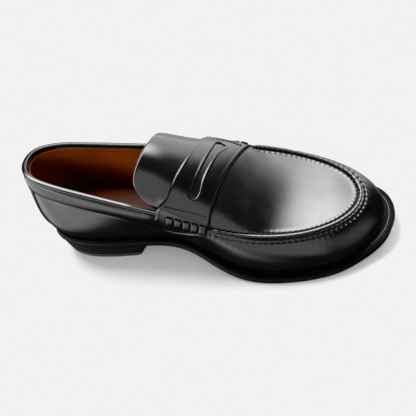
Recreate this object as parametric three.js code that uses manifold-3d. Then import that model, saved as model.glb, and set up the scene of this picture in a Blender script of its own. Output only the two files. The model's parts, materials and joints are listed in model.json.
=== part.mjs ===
// A right-foot penny loafer, men's EU 42, built as a welted shoe: every leather, board, lift, nail and thread is
// a solid of its own. Millimetres, +X to the toe, +Y to the inner side, +Z up, standing on its heel and ball.
import * as THREE from "three";
import { mergeVertices } from "three/addons/utils/BufferGeometryUtils.js";
import Module from "manifold-3d";

const wasm = await Module();
wasm.setup();

// ---------------------------------------------------------------- driving dimensions
const GAP = 0.3; // clearance between pieces that touch
const OUTSOLE_THICKNESS = 5;
const WELT_THICKNESS = 2.7;
const WELT_TOP = OUTSOLE_THICKNESS + GAP + WELT_THICKNESS;
const WELT_INSIDE = 4; // how far the welt runs in under the upper
const WELT_REACH = { heel: 2, forefoot: 5.5, toe: 10 }; // how far it stands out past the upper
const UPPER_LEATHER = 1.5;
const STIFFENER = { top: -2, bottom: -2.9 }; // depths of heel counter and toe puff below the outer surface
const LINING = { top: -3.3, bottom: -4.3 };
const OVERLAY = { bottom: 0.3, top: 1.4 }; // a leather laid on the upper's outer surface
const INSOLE_THICKNESS = 2.5;
const SOCK_THICKNESS = 1.2;
const INSOLE_INSET = 5; // from the upper's foot line to the edge of the insole
const TOP_PIECE_THICKNESS = 5;
const LIFT_THICKNESS = 5.3;
const HEEL_FRONT = 94; // the heel's front face, from the back of the topline
const HEEL_TAPER = 0.2; // share of its size that the heel loses at the floor
const HEEL_HEIGHT = 22;
const TONGUE_TUCK = 6.2; // how far the tongue's sides run inside the topline
const STEP = 0.5; // spacing of stations along the upper, in stations of the pattern below

// The last's pattern, going round the shoe from the back: along the outer side to the toe, and back along the
// inner side. Each row is the foot line (x, y), then the rim (x, y, z), which is the topline at the back and the
// apron seam in front.
const PATTERN = [
  [18, -2, 3.6, -3, 85.8], // back of the heel
  [21, -18, 10, -18, 86.6],
  [35, -28, 28.5, -26.3, 84.2],
  [60, -31.5, 55, -31.2, 78.3],
  [90, -30, 80, -34.7, 71.8],
  [113, -29, 105, -38, 65.6], // waist, outer side
  [132, -34, 128, -41, 58],
  [152, -43, 150, -43, 50],
  [175, -50, 174, -43.5, 44.5],
  [200, -51.5, 197, -42, 42], // ball, outer side
  [226, -49, 220, -38, 41.5],
  [252, -42, 243, -28.5, 41.5],
  [274.5, -25.8, 259, -15, 41],
  [288.4, -8, 267, -1, 40.5],
  [293.2, 9.9, 268, 12, 41], // toe
  [287.8, 26.3, 262, 24, 43],
  [271.2, 38.2, 248, 33.5, 46],
  [250, 45.5, 228, 39.5, 50],
  [225, 47, 203, 41.5, 56], // ball, inner side
  [200, 43, 178, 39.5, 62],
  [172, 33, 152, 38.5, 66],
  [145, 26, 125, 37.5, 68],
  [115, 23, 98, 35.5, 69], // waist, inner side
  [85, 24, 72, 34, 71.8],
  [58, 25, 48, 31.7, 75.2],
  [36, 22.5, 25.5, 28, 79.2],
  [23, 13, 8, 16.5, 83.4],
];
const STATIONS = PATTERN.length;
const TOE_STATION = 13.7; // where the rim turns back
const STRAP_SIDE = { outer: 4.8, inner: 20.9 }; // stations where the topline runs in under the strap
const JOIN_SIDE = { outer: 6.1, inner: 19.6 }; // stations of the side seams between quarters and vamp
const BACKSTAY_HALF = 0.9; // stations from the back to the backstay's edge

// Height of the sole's underside along the shoe, from the heel seat over the waist to the toe spring: [x, z].
const UNDERSIDE = [
  [15, 23],
  [50, 22.5],
  [88, 21.5],
  [122, 16.5],
  [155, 5],
  [185, 0],
  [215, 0],
  [250, 1.5],
  [280, 5.5],
  [304, 11],
];
// Height of the instep above the rim along the shoe: [x, height].
const INSTEP = [
  [85, 37],
  [105, 33.8],
  [125, 27.2],
  [150, 19.5],
  [165, 12],
  [180, 6.5],
  [195, 2.4],
  [210, 0.1],
  [230, -0.5],
  [250, -0.55],
  [261, -0.5],
  [268.3, 0],
];

// ---------------------------------------------------------------- curves and surfaces
const clamp = (value, low, high) => Math.min(Math.max(value, low), high);
const mix = (a, b, share) => a + (b - a) * share;

function ease(low, high, value) {
  const t = clamp((value - low) / (high - low), 0, 1);
  return t * t * (3 - 2 * t);
}

// Smooth curve through [x, value] points, with the slope at each point taken from its neighbours.
function along(points, x) {
  const last = points.length - 1;
  const slope = (i) => {
    const [a, b] = [points[Math.max(i - 1, 0)], points[Math.min(i + 1, last)]];
    return (b[1] - a[1]) / (b[0] - a[0]);
  };
  let i = points.findIndex((p) => p[0] > x) - 1;
  if (i < -1) i = last - 1;
  i = clamp(i, 0, last - 1);
  const span = points[i + 1][0] - points[i][0];
  const t = clamp((x - points[i][0]) / span, 0, 1);
  const [t2, t3] = [t * t, t * t * t];
  return (
    (2 * t3 - 3 * t2 + 1) * points[i][1] +
    (t3 - 2 * t2 + t) * span * slope(i) +
    (3 * t2 - 2 * t3) * points[i + 1][1] +
    (t3 - t2) * span * slope(i + 1)
  );
}

const underside = (x) => Math.max(along(UNDERSIDE, x), 0);

// Columns of the pattern at station s, on a closed Catmull-Rom curve.
function pattern(s, first, count) {
  const i = Math.floor(s);
  const t = s - i;
  const rows = [-1, 0, 1, 2].map((k) => PATTERN[(((i + k) % STATIONS) + STATIONS) % STATIONS]);
  return Array.from({ length: count }, (_, k) => {
    const [a, b, c, d] = rows.map((row) => row[first + k]);
    const [slope, bend, turn] = [c - a, 2 * a - 5 * b + 4 * c - d, 3 * b - a - 3 * c + d];
    return 0.5 * (2 * b + slope * t + bend * t * t + turn * t * t * t);
  });
}

const rim = (s) => new THREE.Vector3(...pattern(s, 2, 3));

function outward(s) {
  const [x0, y0] = pattern(s - 1e-3, 0, 2);
  const [x1, y1] = pattern(s + 1e-3, 0, 2);
  return new THREE.Vector3(y1 - y0, x0 - x1, 0).normalize();
}

// Point on the plan of the foot line, moved outwards by reach.
function plan(s, reach) {
  const [x, y] = pattern(s, 0, 2);
  return new THREE.Vector3(x, y, 0).addScaledVector(outward(s), reach);
}

function weltReach(s) {
  const side = mix(WELT_REACH.heel, WELT_REACH.forefoot, ease(125, 175, pattern(s, 0, 1)[0]));
  return mix(side, WELT_REACH.toe, ease(11, 12.8, s) * (1 - ease(14.8, 16.6, s)));
}

// The upper's side: a Bezier from the foot line (t = 0) to the rim (t = 1). It is rounded at the heel, stands
// upright at the quarters and rolls in over the toes at the vamp.
function wall(s, t) {
  const [footX, footY] = pattern(s, 0, 2);
  const foot = new THREE.Vector3(footX, footY, underside(footX) + WELT_TOP + GAP);
  const top = rim(s);
  const height = top.z - foot.z;
  const vamp = ease(115, 185, top.x);
  const shoulder = 9.5 + (top.y > 0 ? 4 * ease(0, 20, top.y) : 0);
  const up = new THREE.Vector3(0, 0, 1);
  const heel = 1 - ease(20, 75, top.x);
  const low = foot.clone().addScaledVector(outward(s), mix(4 + 8 * heel, 6, vamp));
  low.addScaledVector(up, mix(0.35, 0.22, heel) * height);
  const high = top.clone().addScaledVector(outward(s), mix(1.5 - 3 * heel, shoulder, vamp));
  high.addScaledVector(up, -mix(0.33, 0.02, vamp) * height);
  return new THREE.CubicBezierCurve3(foot, low, high, top).getPoint(t);
}

// Station of the rim at distance x from the back, on the outer (-1) or inner (+1) side.
function stationAt(x, side) {
  let [low, high] = side < 0 ? [0, TOE_STATION] : [STATIONS, TOE_STATION];
  for (let i = 0; i < 40; i++) {
    const middle = (low + high) / 2;
    if (rim(middle).x < x) low = middle;
    else high = middle;
  }
  return (low + high) / 2;
}

// The top of the foot: an arch over the rim at distance x, from the outer side (angle -90) to the inner (+90).
function instep(x, angle, tuck = 0) {
  const [outer, inner] = [rim(stationAt(x, -1)), rim(stationAt(x, 1))];
  const v = Math.sin(angle);
  const point = outer.clone().lerp(inner, (v + 1) / 2);
  const roundness = mix(1, 2, ease(150, 215, x));
  point.z += along(INSTEP, x) * Math.max(Math.cos(angle), 0) ** roundness;
  point.y -= tuck * v ** 3;
  point.x = x;
  return point;
}

// Turns a surface into one that can be stepped off: (a, b, depth) is depth along the outward normal.
function offsetable(surface, side) {
  const e = 1e-3;
  return (a, b, depth) => {
    const alongA = surface(a + e, b).sub(surface(a - e, b));
    const alongB = surface(a, b + e).sub(surface(a, b - e));
    const normal = alongA.cross(alongB).normalize();
    return surface(a, b).addScaledVector(normal, side * depth);
  };
}

const wallAt = offsetable((s, t) => wall(s, clamp(t, 0, 1)), 1);
const instepAt = offsetable((x, angle) => instep(x, angle), 1);
const tongueAt = offsetable((x, angle) => instep(x, angle, TONGUE_TUCK), 1);

// ---------------------------------------------------------------- solids
function range(from, to, step) {
  const count = Math.max(1, Math.round(Math.abs(to - from) / step));
  return Array.from({ length: count + 1 }, (_, i) => mix(from, to, i / count));
}

// Stations from one side to the other, on the pattern's own grid so that layers stay parallel.
function stations(from, to, step = STEP) {
  const inner = [];
  for (let k = Math.ceil(from / step + 0.3); k * step < to - 0.3 * step; k++) inner.push(k * step);
  return [from, ...inner, to];
}

function toSolid(geometry) {
  const plain = geometry.index ? geometry.toNonIndexed() : geometry.clone();
  const bare = new THREE.BufferGeometry().setAttribute("position", plain.getAttribute("position"));
  const merged = mergeVertices(bare, 1e-4);
  return new wasm.Manifold(
    new wasm.Mesh({
      numProp: 3,
      vertProperties: merged.attributes.position.array,
      triVerts: new Uint32Array(merged.index.array),
    }),
  );
}

function fromSolid(solid) {
  const mesh = solid.getMesh();
  const points = new Float32Array(mesh.numVert * 3);
  for (let i = 0; i < mesh.numVert; i++) {
    points.set(mesh.vertProperties.subarray(i * mesh.numProp, i * mesh.numProp + 3), i * 3);
  }
  return new THREE.BufferGeometry()
    .setAttribute("position", new THREE.BufferAttribute(points, 3))
    .setIndex(new THREE.BufferAttribute(mesh.triVerts, 1));
}

// Closed body through loops of points, one loop after another, its ends capped unless it wraps.
function loft(loops, capFaces, wraps = false) {
  const size = loops[0].length;
  const index = [];
  const at = (i, j) => (i % loops.length) * size + (j % size);
  for (let i = 0; i < loops.length - (wraps ? 0 : 1); i++) {
    for (let j = 0; j < size; j++) {
      index.push(at(i, j), at(i + 1, j), at(i + 1, j + 1), at(i, j), at(i + 1, j + 1), at(i, j + 1));
    }
  }
  if (!wraps) {
    for (const [a, b, c] of capFaces) {
      index.push(a, b, c, at(loops.length - 1, a), at(loops.length - 1, c), at(loops.length - 1, b));
    }
  }
  const geometry = new THREE.BufferGeometry().setFromPoints(loops.flat()).setIndex(index);
  return turnedOut(geometry);
}

// The same geometry with its faces pointing out.
function turnedOut(geometry) {
  const [p, index] = [geometry.attributes.position, geometry.index.array];
  const [a, b, c] = [new THREE.Vector3(), new THREE.Vector3(), new THREE.Vector3()];
  let volume = 0;
  for (let i = 0; i < index.length; i += 3) {
    a.fromBufferAttribute(p, index[i]);
    b.fromBufferAttribute(p, index[i + 1]);
    c.fromBufferAttribute(p, index[i + 2]);
    volume += a.dot(b.cross(c));
  }
  if (volume < 0) {
    for (let i = 0; i < index.length; i += 3) [index[i], index[i + 1]] = [index[i + 1], index[i]];
  }
  return geometry;
}

// Triangles that close a section with corners in the plane, wound the way the corners run.
function capOf(corners) {
  const shape = corners.map(([x, y]) => new THREE.Vector2(x, y));
  const faces = THREE.ShapeUtils.triangulateShape([...shape], []);
  const twice = ([a, b, c]) => shape[b].clone().sub(shape[a]).cross(shape[c].clone().sub(shape[a]));
  const sum = faces.reduce((total, face) => total + twice(face), 0);
  const wound = THREE.ShapeUtils.area(shape) * sum > 0;
  return wound ? faces : faces.map(([a, b, c]) => [a, c, b]);
}

const fan = (size) => range(1, size - 2, 1).map((i) => [0, i, i + 1]);

function stripFaces(columns) {
  const last = 2 * columns - 1;
  return range(0, columns - 2, 1).flatMap((j) => [
    [j, j + 1, last - j],
    [j + 1, last - j - 1, last - j],
  ]);
}

// A leather between two depths of a surface: as lists the first coordinates, and bs(a) the second ones.
function leather(surface, as, bs, bottom, top, wraps = false) {
  const loops = as.map((a) => {
    const across = bs(a);
    const outer = across.map((b) => surface(xOf(a, b), b, top));
    const inner = across.map((b) => surface(xOf(a, b), b, bottom));
    return [...outer, ...inner.reverse()];
  });
  return loft(loops, stripFaces(loops[0].length / 2), wraps);
}
const xOf = (a, b) => (typeof a === "function" ? a(b) : a);

const side = (from, to, low, high, bottom, top, rows = 6) =>
  leather(wallAt, stations(from, to), () => range(low, high, (high - low) / rows), bottom, top);

// How far up the wall a line at a height below the rim lies, as a share of the whole.
function rimShare(s, height) {
  return Math.min(1 + (0.2 * height) / wall(s, 1).distanceTo(wall(s, 0.8)), 1);
}

// A section with corners (height above the rim, depth), swept along the topline.
function rimSweep(from, to, corners) {
  const loops = stations(from, to).map((s) => {
    const up = wall(s, 1).sub(wall(s, 0.97)).normalize();
    return corners.map(([height, depth]) => {
      return wallAt(s, rimShare(s, height), depth).addScaledVector(up, Math.max(height, 0));
    });
  });
  return loft(loops, capOf(corners));
}

// Where a closed plan outline crosses x: its lowest and highest y.
function spanAt(outline, x) {
  const ys = [];
  outline.forEach((p, i) => {
    const q = outline[(i + 1) % outline.length];
    if (p.x <= x !== q.x <= x) ys.push(mix(p.y, q.y, (x - p.x) / (q.x - p.x)));
  });
  return [Math.min(...ys), Math.max(...ys)];
}

// A sheet that follows the sole's underside, between two heights above it, inside the outline at reach(s).
function sheet(reach, low, high, limits = {}) {
  const outline = range(0, STATIONS - 0.1, 0.1).map((s) => plan(s, reach(s)));
  const xs = outline.map((p) => p.x);
  const [back, front] = [limits.back ?? Math.min(...xs) + 0.4, limits.front ?? Math.max(...xs) - 0.4];
  const middle = (back + front) / 2;
  const turns = range(-90, 90, limits.turn ?? 6).map(THREE.MathUtils.degToRad);
  const loops = turns.map((turn) => {
    const x = middle + ((front - back) / 2) * Math.sin(turn);
    const [outer, inner] = limits.halfWidth ? [-limits.halfWidth, limits.halfWidth] : spanAt(outline, x);
    const shift = limits.halfWidth ? limits.centre : 0;
    const [bottom, top] = [underside(x) + low, underside(x) + high];
    return [
      new THREE.Vector3(x, outer + shift, bottom),
      new THREE.Vector3(x, inner + shift, bottom),
      new THREE.Vector3(x, inner + shift, top),
      new THREE.Vector3(x, outer + shift, top),
    ];
  });
  return loft(loops, fan(4));
}

// The heel's plan at a height above the floor: the seat's outline, drawn in towards the floor.
function heelOutline(height) {
  const share = 1 - HEEL_TAPER * (1 - height / HEEL_HEIGHT);
  const centre = new THREE.Vector3(55, 0, 0);
  return range(-4, 4, 0.4).map((s) => {
    const point = plan(s, 1).sub(centre).multiplyScalar(share).add(centre);
    point.x = Math.min(point.x, HEEL_FRONT);
    return point;
  });
}

function lift(low, high) {
  const loops = [low, high].map((height) =>
    heelOutline(typeof height === "function" ? HEEL_HEIGHT : height).map((p) =>
      p.clone().setZ(typeof height === "function" ? height(p.x) : height),
    ),
  );
  return loft(loops, capOf(loops[0].map((p) => [p.x, p.y])));
}

// A thread along points on the leather.
function thread(points, radius = 0.4) {
  const path = new THREE.CatmullRomCurve3(points);
  const section = new THREE.Shape(
    range(0, 4, 1).map((k) => {
      const turn = (k * Math.PI * 2) / 5;
      return new THREE.Vector2(radius * Math.cos(turn), radius * Math.sin(turn));
    }),
  );
  return new THREE.ExtrudeGeometry(section, { extrudePath: path, steps: points.length - 1, curveSegments: 1 });
}
const THREAD_DEPTH = 0.95; // of a thread's middle above the leather it lies on

// A nail driven down from z = 0, or with room around it the hole it leaves.
const NAIL_HEAD = 1;
function nail(length, shaft, head, room = 0) {
  const profile = [
    [0, -length - room],
    [shaft + room, 2 - length - room],
    [shaft + room, -NAIL_HEAD - room],
    [head + room, -NAIL_HEAD - room],
    [head + room, 4 * room],
    [0, 4 * room],
  ].map(([x, y]) => new THREE.Vector2(x, y));
  return new THREE.LatheGeometry(profile, 8).rotateX(Math.PI / 2);
}

// ---------------------------------------------------------------- assembly
const shoe = new THREE.Group();
const MATERIALS = {
  calf: { color: 0x131314, roughness: 0.28 },
  lining: { color: 0x7a3a16, roughness: 0.6 },
  sole: { color: 0x0f0f10, roughness: 0.5 },
  rubber: { color: 0x18181a, roughness: 0.8 },
  board: { color: 0xa98458, roughness: 0.9 },
  thread: { color: 0x0c0c0c, roughness: 0.7 },
  cork: { color: 0x9b7348, roughness: 1 },
  steel: { color: 0x9a9da1, roughness: 0.35, metalness: 1 },
  brass: { color: 0xc19a4c, roughness: 0.4, metalness: 1 },
};

function add(name, material, geometry) {
  const mesh = new THREE.Mesh(geometry, new THREE.MeshStandardMaterial(MATERIALS[material]));
  mesh.name = name;
  shoe.add(mesh);
  return mesh;
}

// Strap and tongue lines: distance from the back as a function of the place across, which is v from -1 (outer) to
// 1 (inner), or its angle round the instep's arch.
const strapBack = (v) => 126 + 16.5 * v;
const strapFront = (v) => 156 + 18.5 * v + 3.5 * v * v;
const tongueCorner = (angle) => 20 * Math.max((4 * Math.abs(angle)) / Math.PI - 1, 0) ** 3;
const tongueBack = (angle) => 97 + 13 * Math.sin(angle) + tongueCorner(angle);
const strapLine = (share) => (angle) => mix(strapBack(Math.sin(angle)), strapFront(Math.sin(angle)), share);

function addUpper() {
  const { outer, inner } = JOIN_SIDE;
  add("quarter_outer", "calf", side(0.02, outer, 0, 1, -UPPER_LEATHER, 0));
  add("quarter_inner", "calf", side(inner + 0.04, STATIONS - 0.02, 0, 1, -UPPER_LEATHER, 0));
  add("vamp", "calf", side(outer + 0.04, inner, 0, 0.99, -UPPER_LEATHER, 0));
  add("heel_counter", "board", side(-3, 3, 0.04, 0.72, STIFFENER.bottom, STIFFENER.top, 6));
  add("toe_puff", "board", side(10.5, 17.15, 0.04, 0.85, STIFFENER.bottom, STIFFENER.top, 5));
  add("quarter_lining", "lining", side(inner + 0.04 - STATIONS, outer, 0, 0.97, LINING.bottom, LINING.top, 6));
  add("vamp_lining", "lining", side(outer + 0.04, inner, 0, 0.96, LINING.bottom, LINING.top, 6));
  add("backstay", "calf", side(-BACKSTAY_HALF, BACKSTAY_HALF, 0.03, 0.7, OVERLAY.bottom, OVERLAY.top, 6));
  const collar = [
    [-13.5, 0.3],
    [-13.5, 1.4],
    [-7, 1.4],
    [0.9, 1.4],
    [1.6, 0.6],
    [1.6, -2.1],
    [0.9, -2.9],
    [-5, -2.9],
    [-5, -1.8],
    [0.35, -1.8],
    [0.35, 0.3],
    [-7, 0.3],
  ];
  add("topline_collar", "calf", rimSweep(STRAP_SIDE.inner - STATIONS, STRAP_SIDE.outer, collar));
}

function addTop() {
  const angles = (limit, count = 14) => () => range(-limit, limit, (2 * limit) / count);
  const apex = 266.8;
  const shares = [0, 0.08, 0.16, 0.25, 0.35, 0.46, 0.57, 0.68, 0.78, 0.87, 0.94, 0.98, 1];
  const plugLines = shares.map((share) => (angle) => mix(strapLine(0.12)(angle), apex, share));
  add("plug", "calf", leather(instepAt, plugLines, angles(1.5), -UPPER_LEATHER, 0));
  add("plug_lining", "lining", leather(instepAt, plugLines, angles(1.36, 14), -2.85, -1.95));

  const tongueLines = range(0, 1, 0.2).map((share) => (angle) => {
    return mix(tongueBack(angle), strapLine(0.02)(angle), share);
  });
  add("tongue", "calf", leather(tongueAt, tongueLines, angles(1.5, 16), -UPPER_LEATHER, 0));
  add("tongue_lining", "lining", leather(tongueAt, tongueLines, angles(1.5, 16), -2.8, -1.8));

  const strapLines = range(0, 1, 1 / 6).map(strapLine);
  const strap = toSolid(leather(instepAt, strapLines, angles(1.5, 18), 0.35, 1.85));
  // The coin slot: a slit along the strap that opens out into a lip towards each end.
  const slotAngles = range(-0.96, 0.78, 0.087);
  const lips = slotAngles.map((angle, i) => {
    const place = (2 * i) / (slotAngles.length - 1) - 1;
    const half = 0.045 + 0.08 * Math.max(1 - ((Math.abs(place) - 0.72) / 0.28) ** 2, 0);
    return { angle, low: 0.44, high: 0.44 + 2 * half };
  });
  const slotLoops = lips.map(({ angle, low, high }) => [
    instepAt(strapLine(low)(angle), angle, -0.6),
    instepAt(strapLine(high)(angle), angle, -0.6),
    instepAt(strapLine(high)(angle), angle, 4),
    instepAt(strapLine(low)(angle), angle, 4),
  ]);
  add("penny_strap", "calf", fromSolid(strap.subtract(toSolid(loft(slotLoops, fan(4))))));
}

// Each end of the strap: a flap that runs down the wall, and on it a short padded roll under the whip stitches.
const STRAP_ENDS = {
  outer: {
    flap: [4.87, 6.62],
    roll: [5.15, 6.55],
    length: [[4.87, 16], [5, 21], [5.27, 23], [5.8, 18.5], [6.62, 5]], // [station, mm below the rim]
  },
  inner: {
    flap: [19.02, 20.62],
    roll: [19.1, 20.3],
    length: [[19.02, 5], [19.7, 16], [20.2, 21], [20.5, 19], [20.62, 15]],
  },
};
const ROLL_TOP = 3.4;
const FLAP_TOP = 0.94; // share of the wall at which a flap starts, under the end of the strap

function addStrapEnds() {
  for (const [name, { flap, roll, length }] of Object.entries(STRAP_ENDS)) {
    const between = (low, high, count) => range(low, high, (high - low) / count);
    const flapRows = (s) => between(rimShare(s, -along(length, s)), FLAP_TOP, 4);
    add(`strap_flap_${name}`, "calf", leather(wallAt, stations(...flap, 0.25), flapRows, 0.35, 1.85));
    const rollRows = (s) => between(rimShare(s, -8), rimShare(s, -1.2), 3);
    add(`strap_roll_${name}`, "calf", leather(wallAt, stations(...roll), rollRows, 2.3, ROLL_TOP));
    const line = stations(roll[0] + 0.1, roll[1] - 0.1, 0.25).map((s) => {
      return wallAt(s, rimShare(s, -4.6), ROLL_TOP + THREAD_DEPTH);
    });
    add(`roll_thread_${name}`, "thread", thread(line, 0.4));
    const row = range(0.06, 0.94, 0.11).map((share) => {
      const angle = name === "outer" ? -1.27 : 1.27;
      return instepAt(strapLine(share)(angle), angle, 1.85 + THREAD_DEPTH);
    });
    add(`strap_stitch_${name}`, "thread", thread(row, 0.35));
  }
}

function addStitching() {
  const seam = stations(7.1, 18.7, 0.5).map((s) => wallAt(s, 1, THREAD_DEPTH + 0.5));
  add("apron_seam_thread", "thread", thread(seam, 0.6));
  const collar = stations(STRAP_SIDE.inner + 0.25 - STATIONS, STRAP_SIDE.outer - 0.2, 0.25).map((s) => {
    return wallAt(s, rimShare(s, -12), OVERLAY.top + THREAD_DEPTH);
  });
  add("collar_stitch", "thread", thread(collar, 0.35));
  const welt = stations(7.2, 19.9, 0.5).map((s) => {
    const point = plan(s, weltReach(s) - 1.7);
    return point.setZ(underside(point.x) + WELT_TOP + THREAD_DEPTH);
  });
  add("welt_stitch", "thread", thread(welt, 0.4));
}

// The welt round the forefoot and the rand round the heel seat, between the outsole and the upper.
function addWelt() {
  const strip = (from, to) => {
    const loops = stations(from, to).map((s) => {
      const [outer, inner] = [plan(s, weltReach(s)), plan(s, -WELT_INSIDE)];
      const [low, high] = [OUTSOLE_THICKNESS + 1.5 * GAP, WELT_TOP];
      return [
        outer.clone().setZ(underside(outer.x) + low),
        outer.clone().setZ(underside(outer.x) + high),
        inner.clone().setZ(underside(inner.x) + high),
        inner.clone().setZ(underside(inner.x) + low),
      ];
    });
    return loft(loops, fan(4));
  };
  add("welt", "sole", strip(4.6, 22.4));
  add("heel_rand", "sole", strip(22.45 - STATIONS, 4.55));
}

// Five nails hold the heel from inside, and five short ones hold the rubber top piece from below.
const HEEL_NAILS = [
  [38, -12],
  [38, 8],
  [56, -16],
  [56, 12],
  [76, -2],
];

function addBottom() {
  const reach = (inset) => () => -inset;
  const filler = sheet(reach(WELT_INSIDE + 0.6), OUTSOLE_THICKNESS + GAP, WELT_TOP, { back: 140, turn: 9 });
  add("cork_filler", "cork", filler);
  const shank = { back: 82, front: 140, halfWidth: 6, centre: -2, turn: 12 };
  add("shank", "steel", sheet(reach(0), OUTSOLE_THICKNESS + 0.5, OUTSOLE_THICKNESS + 2, shank));

  const seat = OUTSOLE_THICKNESS + 2 * GAP + WELT_THICKNESS + INSOLE_THICKNESS;
  const pieces = {
    insole: ["board", sheet(reach(INSOLE_INSET), WELT_TOP + GAP, seat)],
    outsole: ["sole", sheet(weltReach, 0, OUTSOLE_THICKNESS)],
    heel_lift_upper: ["sole", lift(3 * (GAP + LIFT_THICKNESS) - 0.3, (x) => underside(x) - GAP)],
    heel_lift_middle: ["sole", lift(2 * (GAP + LIFT_THICKNESS) - 0.3, 3 * (GAP + LIFT_THICKNESS) - 0.6)],
    heel_lift_lower: ["sole", lift(GAP + LIFT_THICKNESS - 0.3, 2 * (GAP + LIFT_THICKNESS) - 0.6)],
    top_piece: ["rubber", lift(0, TOP_PIECE_THICKNESS)],
  };
  const solids = Object.fromEntries(Object.entries(pieces).map(([name, [, body]]) => [name, toSolid(body)]));

  HEEL_NAILS.forEach(([x, y], i) => {
    const heelNail = (room) => nail(21, 1, 2.2, room).translate(x, y, underside(x) + seat);
    const hole = toSolid(heelNail(GAP));
    for (const name of ["insole", "outsole", "heel_lift_upper", "heel_lift_middle"]) {
      solids[name] = solids[name].subtract(hole);
    }
    add(`heel_nail_${i + 1}`, "steel", heelNail(0));

    const [pinX, pinY] = [mix(55, x, 0.85) + 2, mix(-2, y, 1.05)];
    const pin = (room) => nail(9, 0.8, 1.6, room).rotateX(Math.PI).translate(pinX, pinY, 0.4);
    const pocket = toSolid(pin(GAP));
    for (const name of ["top_piece", "heel_lift_lower"]) solids[name] = solids[name].subtract(pocket);
    add(`top_piece_nail_${i + 1}`, "brass", pin(0));
  });
  for (const [name, [material]] of Object.entries(pieces)) add(name, material, fromSolid(solids[name]));
  add("sock_liner", "lining", sheet(reach(INSOLE_INSET + 0.2), seat + GAP, seat + GAP + SOCK_THICKNESS));
}

addUpper();
addTop();
addStrapEnds();
addStitching();
addWelt();
addBottom();

// The part's origin is the middle of its footprint, on the floor.
const box = new THREE.Box3().setFromObject(shoe);
const centre = box.getCenter(new THREE.Vector3());
shoe.position.set(-centre.x, -centre.y, -box.min.z);

const part = new THREE.Group();
part.add(shoe);
export default part;
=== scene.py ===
"""A black penny loafer on a pale floor: the leathers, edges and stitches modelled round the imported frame.

Lengths in the modelling code are millimetres in the shoemaker's pattern frame (x from the back, y to the inner
side, z up from the floor); place() turns them into metres in the row frame.
"""
import json
import math

import bmesh
import bpy
import numpy as np
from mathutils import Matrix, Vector


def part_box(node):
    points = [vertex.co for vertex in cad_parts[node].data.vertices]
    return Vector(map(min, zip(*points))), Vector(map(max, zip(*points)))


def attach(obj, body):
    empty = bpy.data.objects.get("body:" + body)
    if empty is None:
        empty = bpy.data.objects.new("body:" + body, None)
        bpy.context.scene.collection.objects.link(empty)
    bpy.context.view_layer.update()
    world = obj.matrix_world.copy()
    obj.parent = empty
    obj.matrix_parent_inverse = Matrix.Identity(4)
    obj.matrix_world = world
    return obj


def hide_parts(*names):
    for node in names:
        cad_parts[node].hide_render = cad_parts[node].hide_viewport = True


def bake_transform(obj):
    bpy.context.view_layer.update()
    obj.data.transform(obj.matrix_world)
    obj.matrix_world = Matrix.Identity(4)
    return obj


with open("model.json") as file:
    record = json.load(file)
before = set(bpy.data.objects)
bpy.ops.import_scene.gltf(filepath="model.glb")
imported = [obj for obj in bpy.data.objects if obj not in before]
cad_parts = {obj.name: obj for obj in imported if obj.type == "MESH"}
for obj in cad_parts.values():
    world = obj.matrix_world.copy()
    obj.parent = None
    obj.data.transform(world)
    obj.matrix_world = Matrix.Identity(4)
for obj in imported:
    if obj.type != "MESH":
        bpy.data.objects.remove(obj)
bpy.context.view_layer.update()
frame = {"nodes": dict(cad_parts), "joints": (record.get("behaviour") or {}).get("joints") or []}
rng = np.random.default_rng(7)

# ------------------------------------------------------------------ the last
# Going round the shoe from the back, outer side first: foot line x, y, and rim x, y, z.
PATTERN = np.array([
    [18, -2, 3.6, -3, 85.8],
    [21, -18, 10, -18, 86.6],
    [35, -28, 28.5, -26.3, 84.2],
    [60, -31.5, 55, -31.2, 78.3],
    [90, -30, 80, -34.7, 71.8],
    [113, -29, 105, -38, 65.6],
    [132, -34, 128, -41, 58],
    [152, -43, 150, -43, 50],
    [175, -50, 174, -43.5, 44.5],
    [200, -51.5, 197, -42, 42],
    [226, -49, 220, -38, 41.5],
    [252, -42, 243, -28.5, 41.5],
    [274.5, -25.8, 259, -15, 41],
    [288.4, -8, 267, -1, 40.5],
    [293.2, 9.9, 268, 12, 41],
    [287.8, 26.3, 262, 24, 43],
    [271.2, 38.2, 248, 33.5, 46],
    [250, 45.5, 228, 39.5, 50],
    [225, 47, 203, 41.5, 56],
    [200, 43, 178, 39.5, 62],
    [172, 33, 152, 38.5, 66],
    [145, 26, 125, 37.5, 68],
    [115, 23, 98, 35.5, 69],
    [85, 24, 72, 34, 71.8],
    [58, 25, 48, 31.7, 75.2],
    [36, 22.5, 25.5, 28, 79.2],
    [23, 13, 8, 16.5, 83.4],
], float)
STATIONS = len(PATTERN)
TOE_STATION = 13.7
# height of the sole's underside at each x
UNDERSIDE = np.array([
    (15, 23), (50, 22.5), (88, 21.5), (122, 16.5), (155, 5),
    (185, 0), (215, 0), (250, 1.5), (280, 5.5), (304, 11),
], float)
# height of the instep's middle over the rims at each x
INSTEP = np.array([
    (85, 37), (105, 33.8), (125, 27.2), (150, 19.5), (165, 12), (180, 6.5),
    (195, 2.4), (210, 0.1), (230, -0.5), (250, -0.55), (261, -0.5), (268.3, 0),
], float)
SKY = np.array([0, 0, 1.0])
OUTSOLE = 5.0  # its thickness
WELT_LOW, WELT_TOP = 5.2, 8.0  # above the underside
WALL_FOOT = 8.05


def clamp01(x):
    return np.clip(x, 0.0, 1.0)


def ease(low, high, x):
    t = clamp01((np.asarray(x, float) - low) / (high - low))
    return t * t * (3 - 2 * t)


def mix(a, b, share):
    return a + (b - a) * share


def unit(vectors):
    return vectors / np.linalg.norm(vectors, axis=-1, keepdims=True)


def path_length(points, axis=0):
    """Length in mm from the start of each path to each of its points."""
    points = np.moveaxis(points, axis, 0)
    steps = np.linalg.norm(np.diff(points, axis=0, prepend=points[:1]), axis=-1)
    return np.moveaxis(np.cumsum(steps, axis=0), 0, axis)


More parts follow.
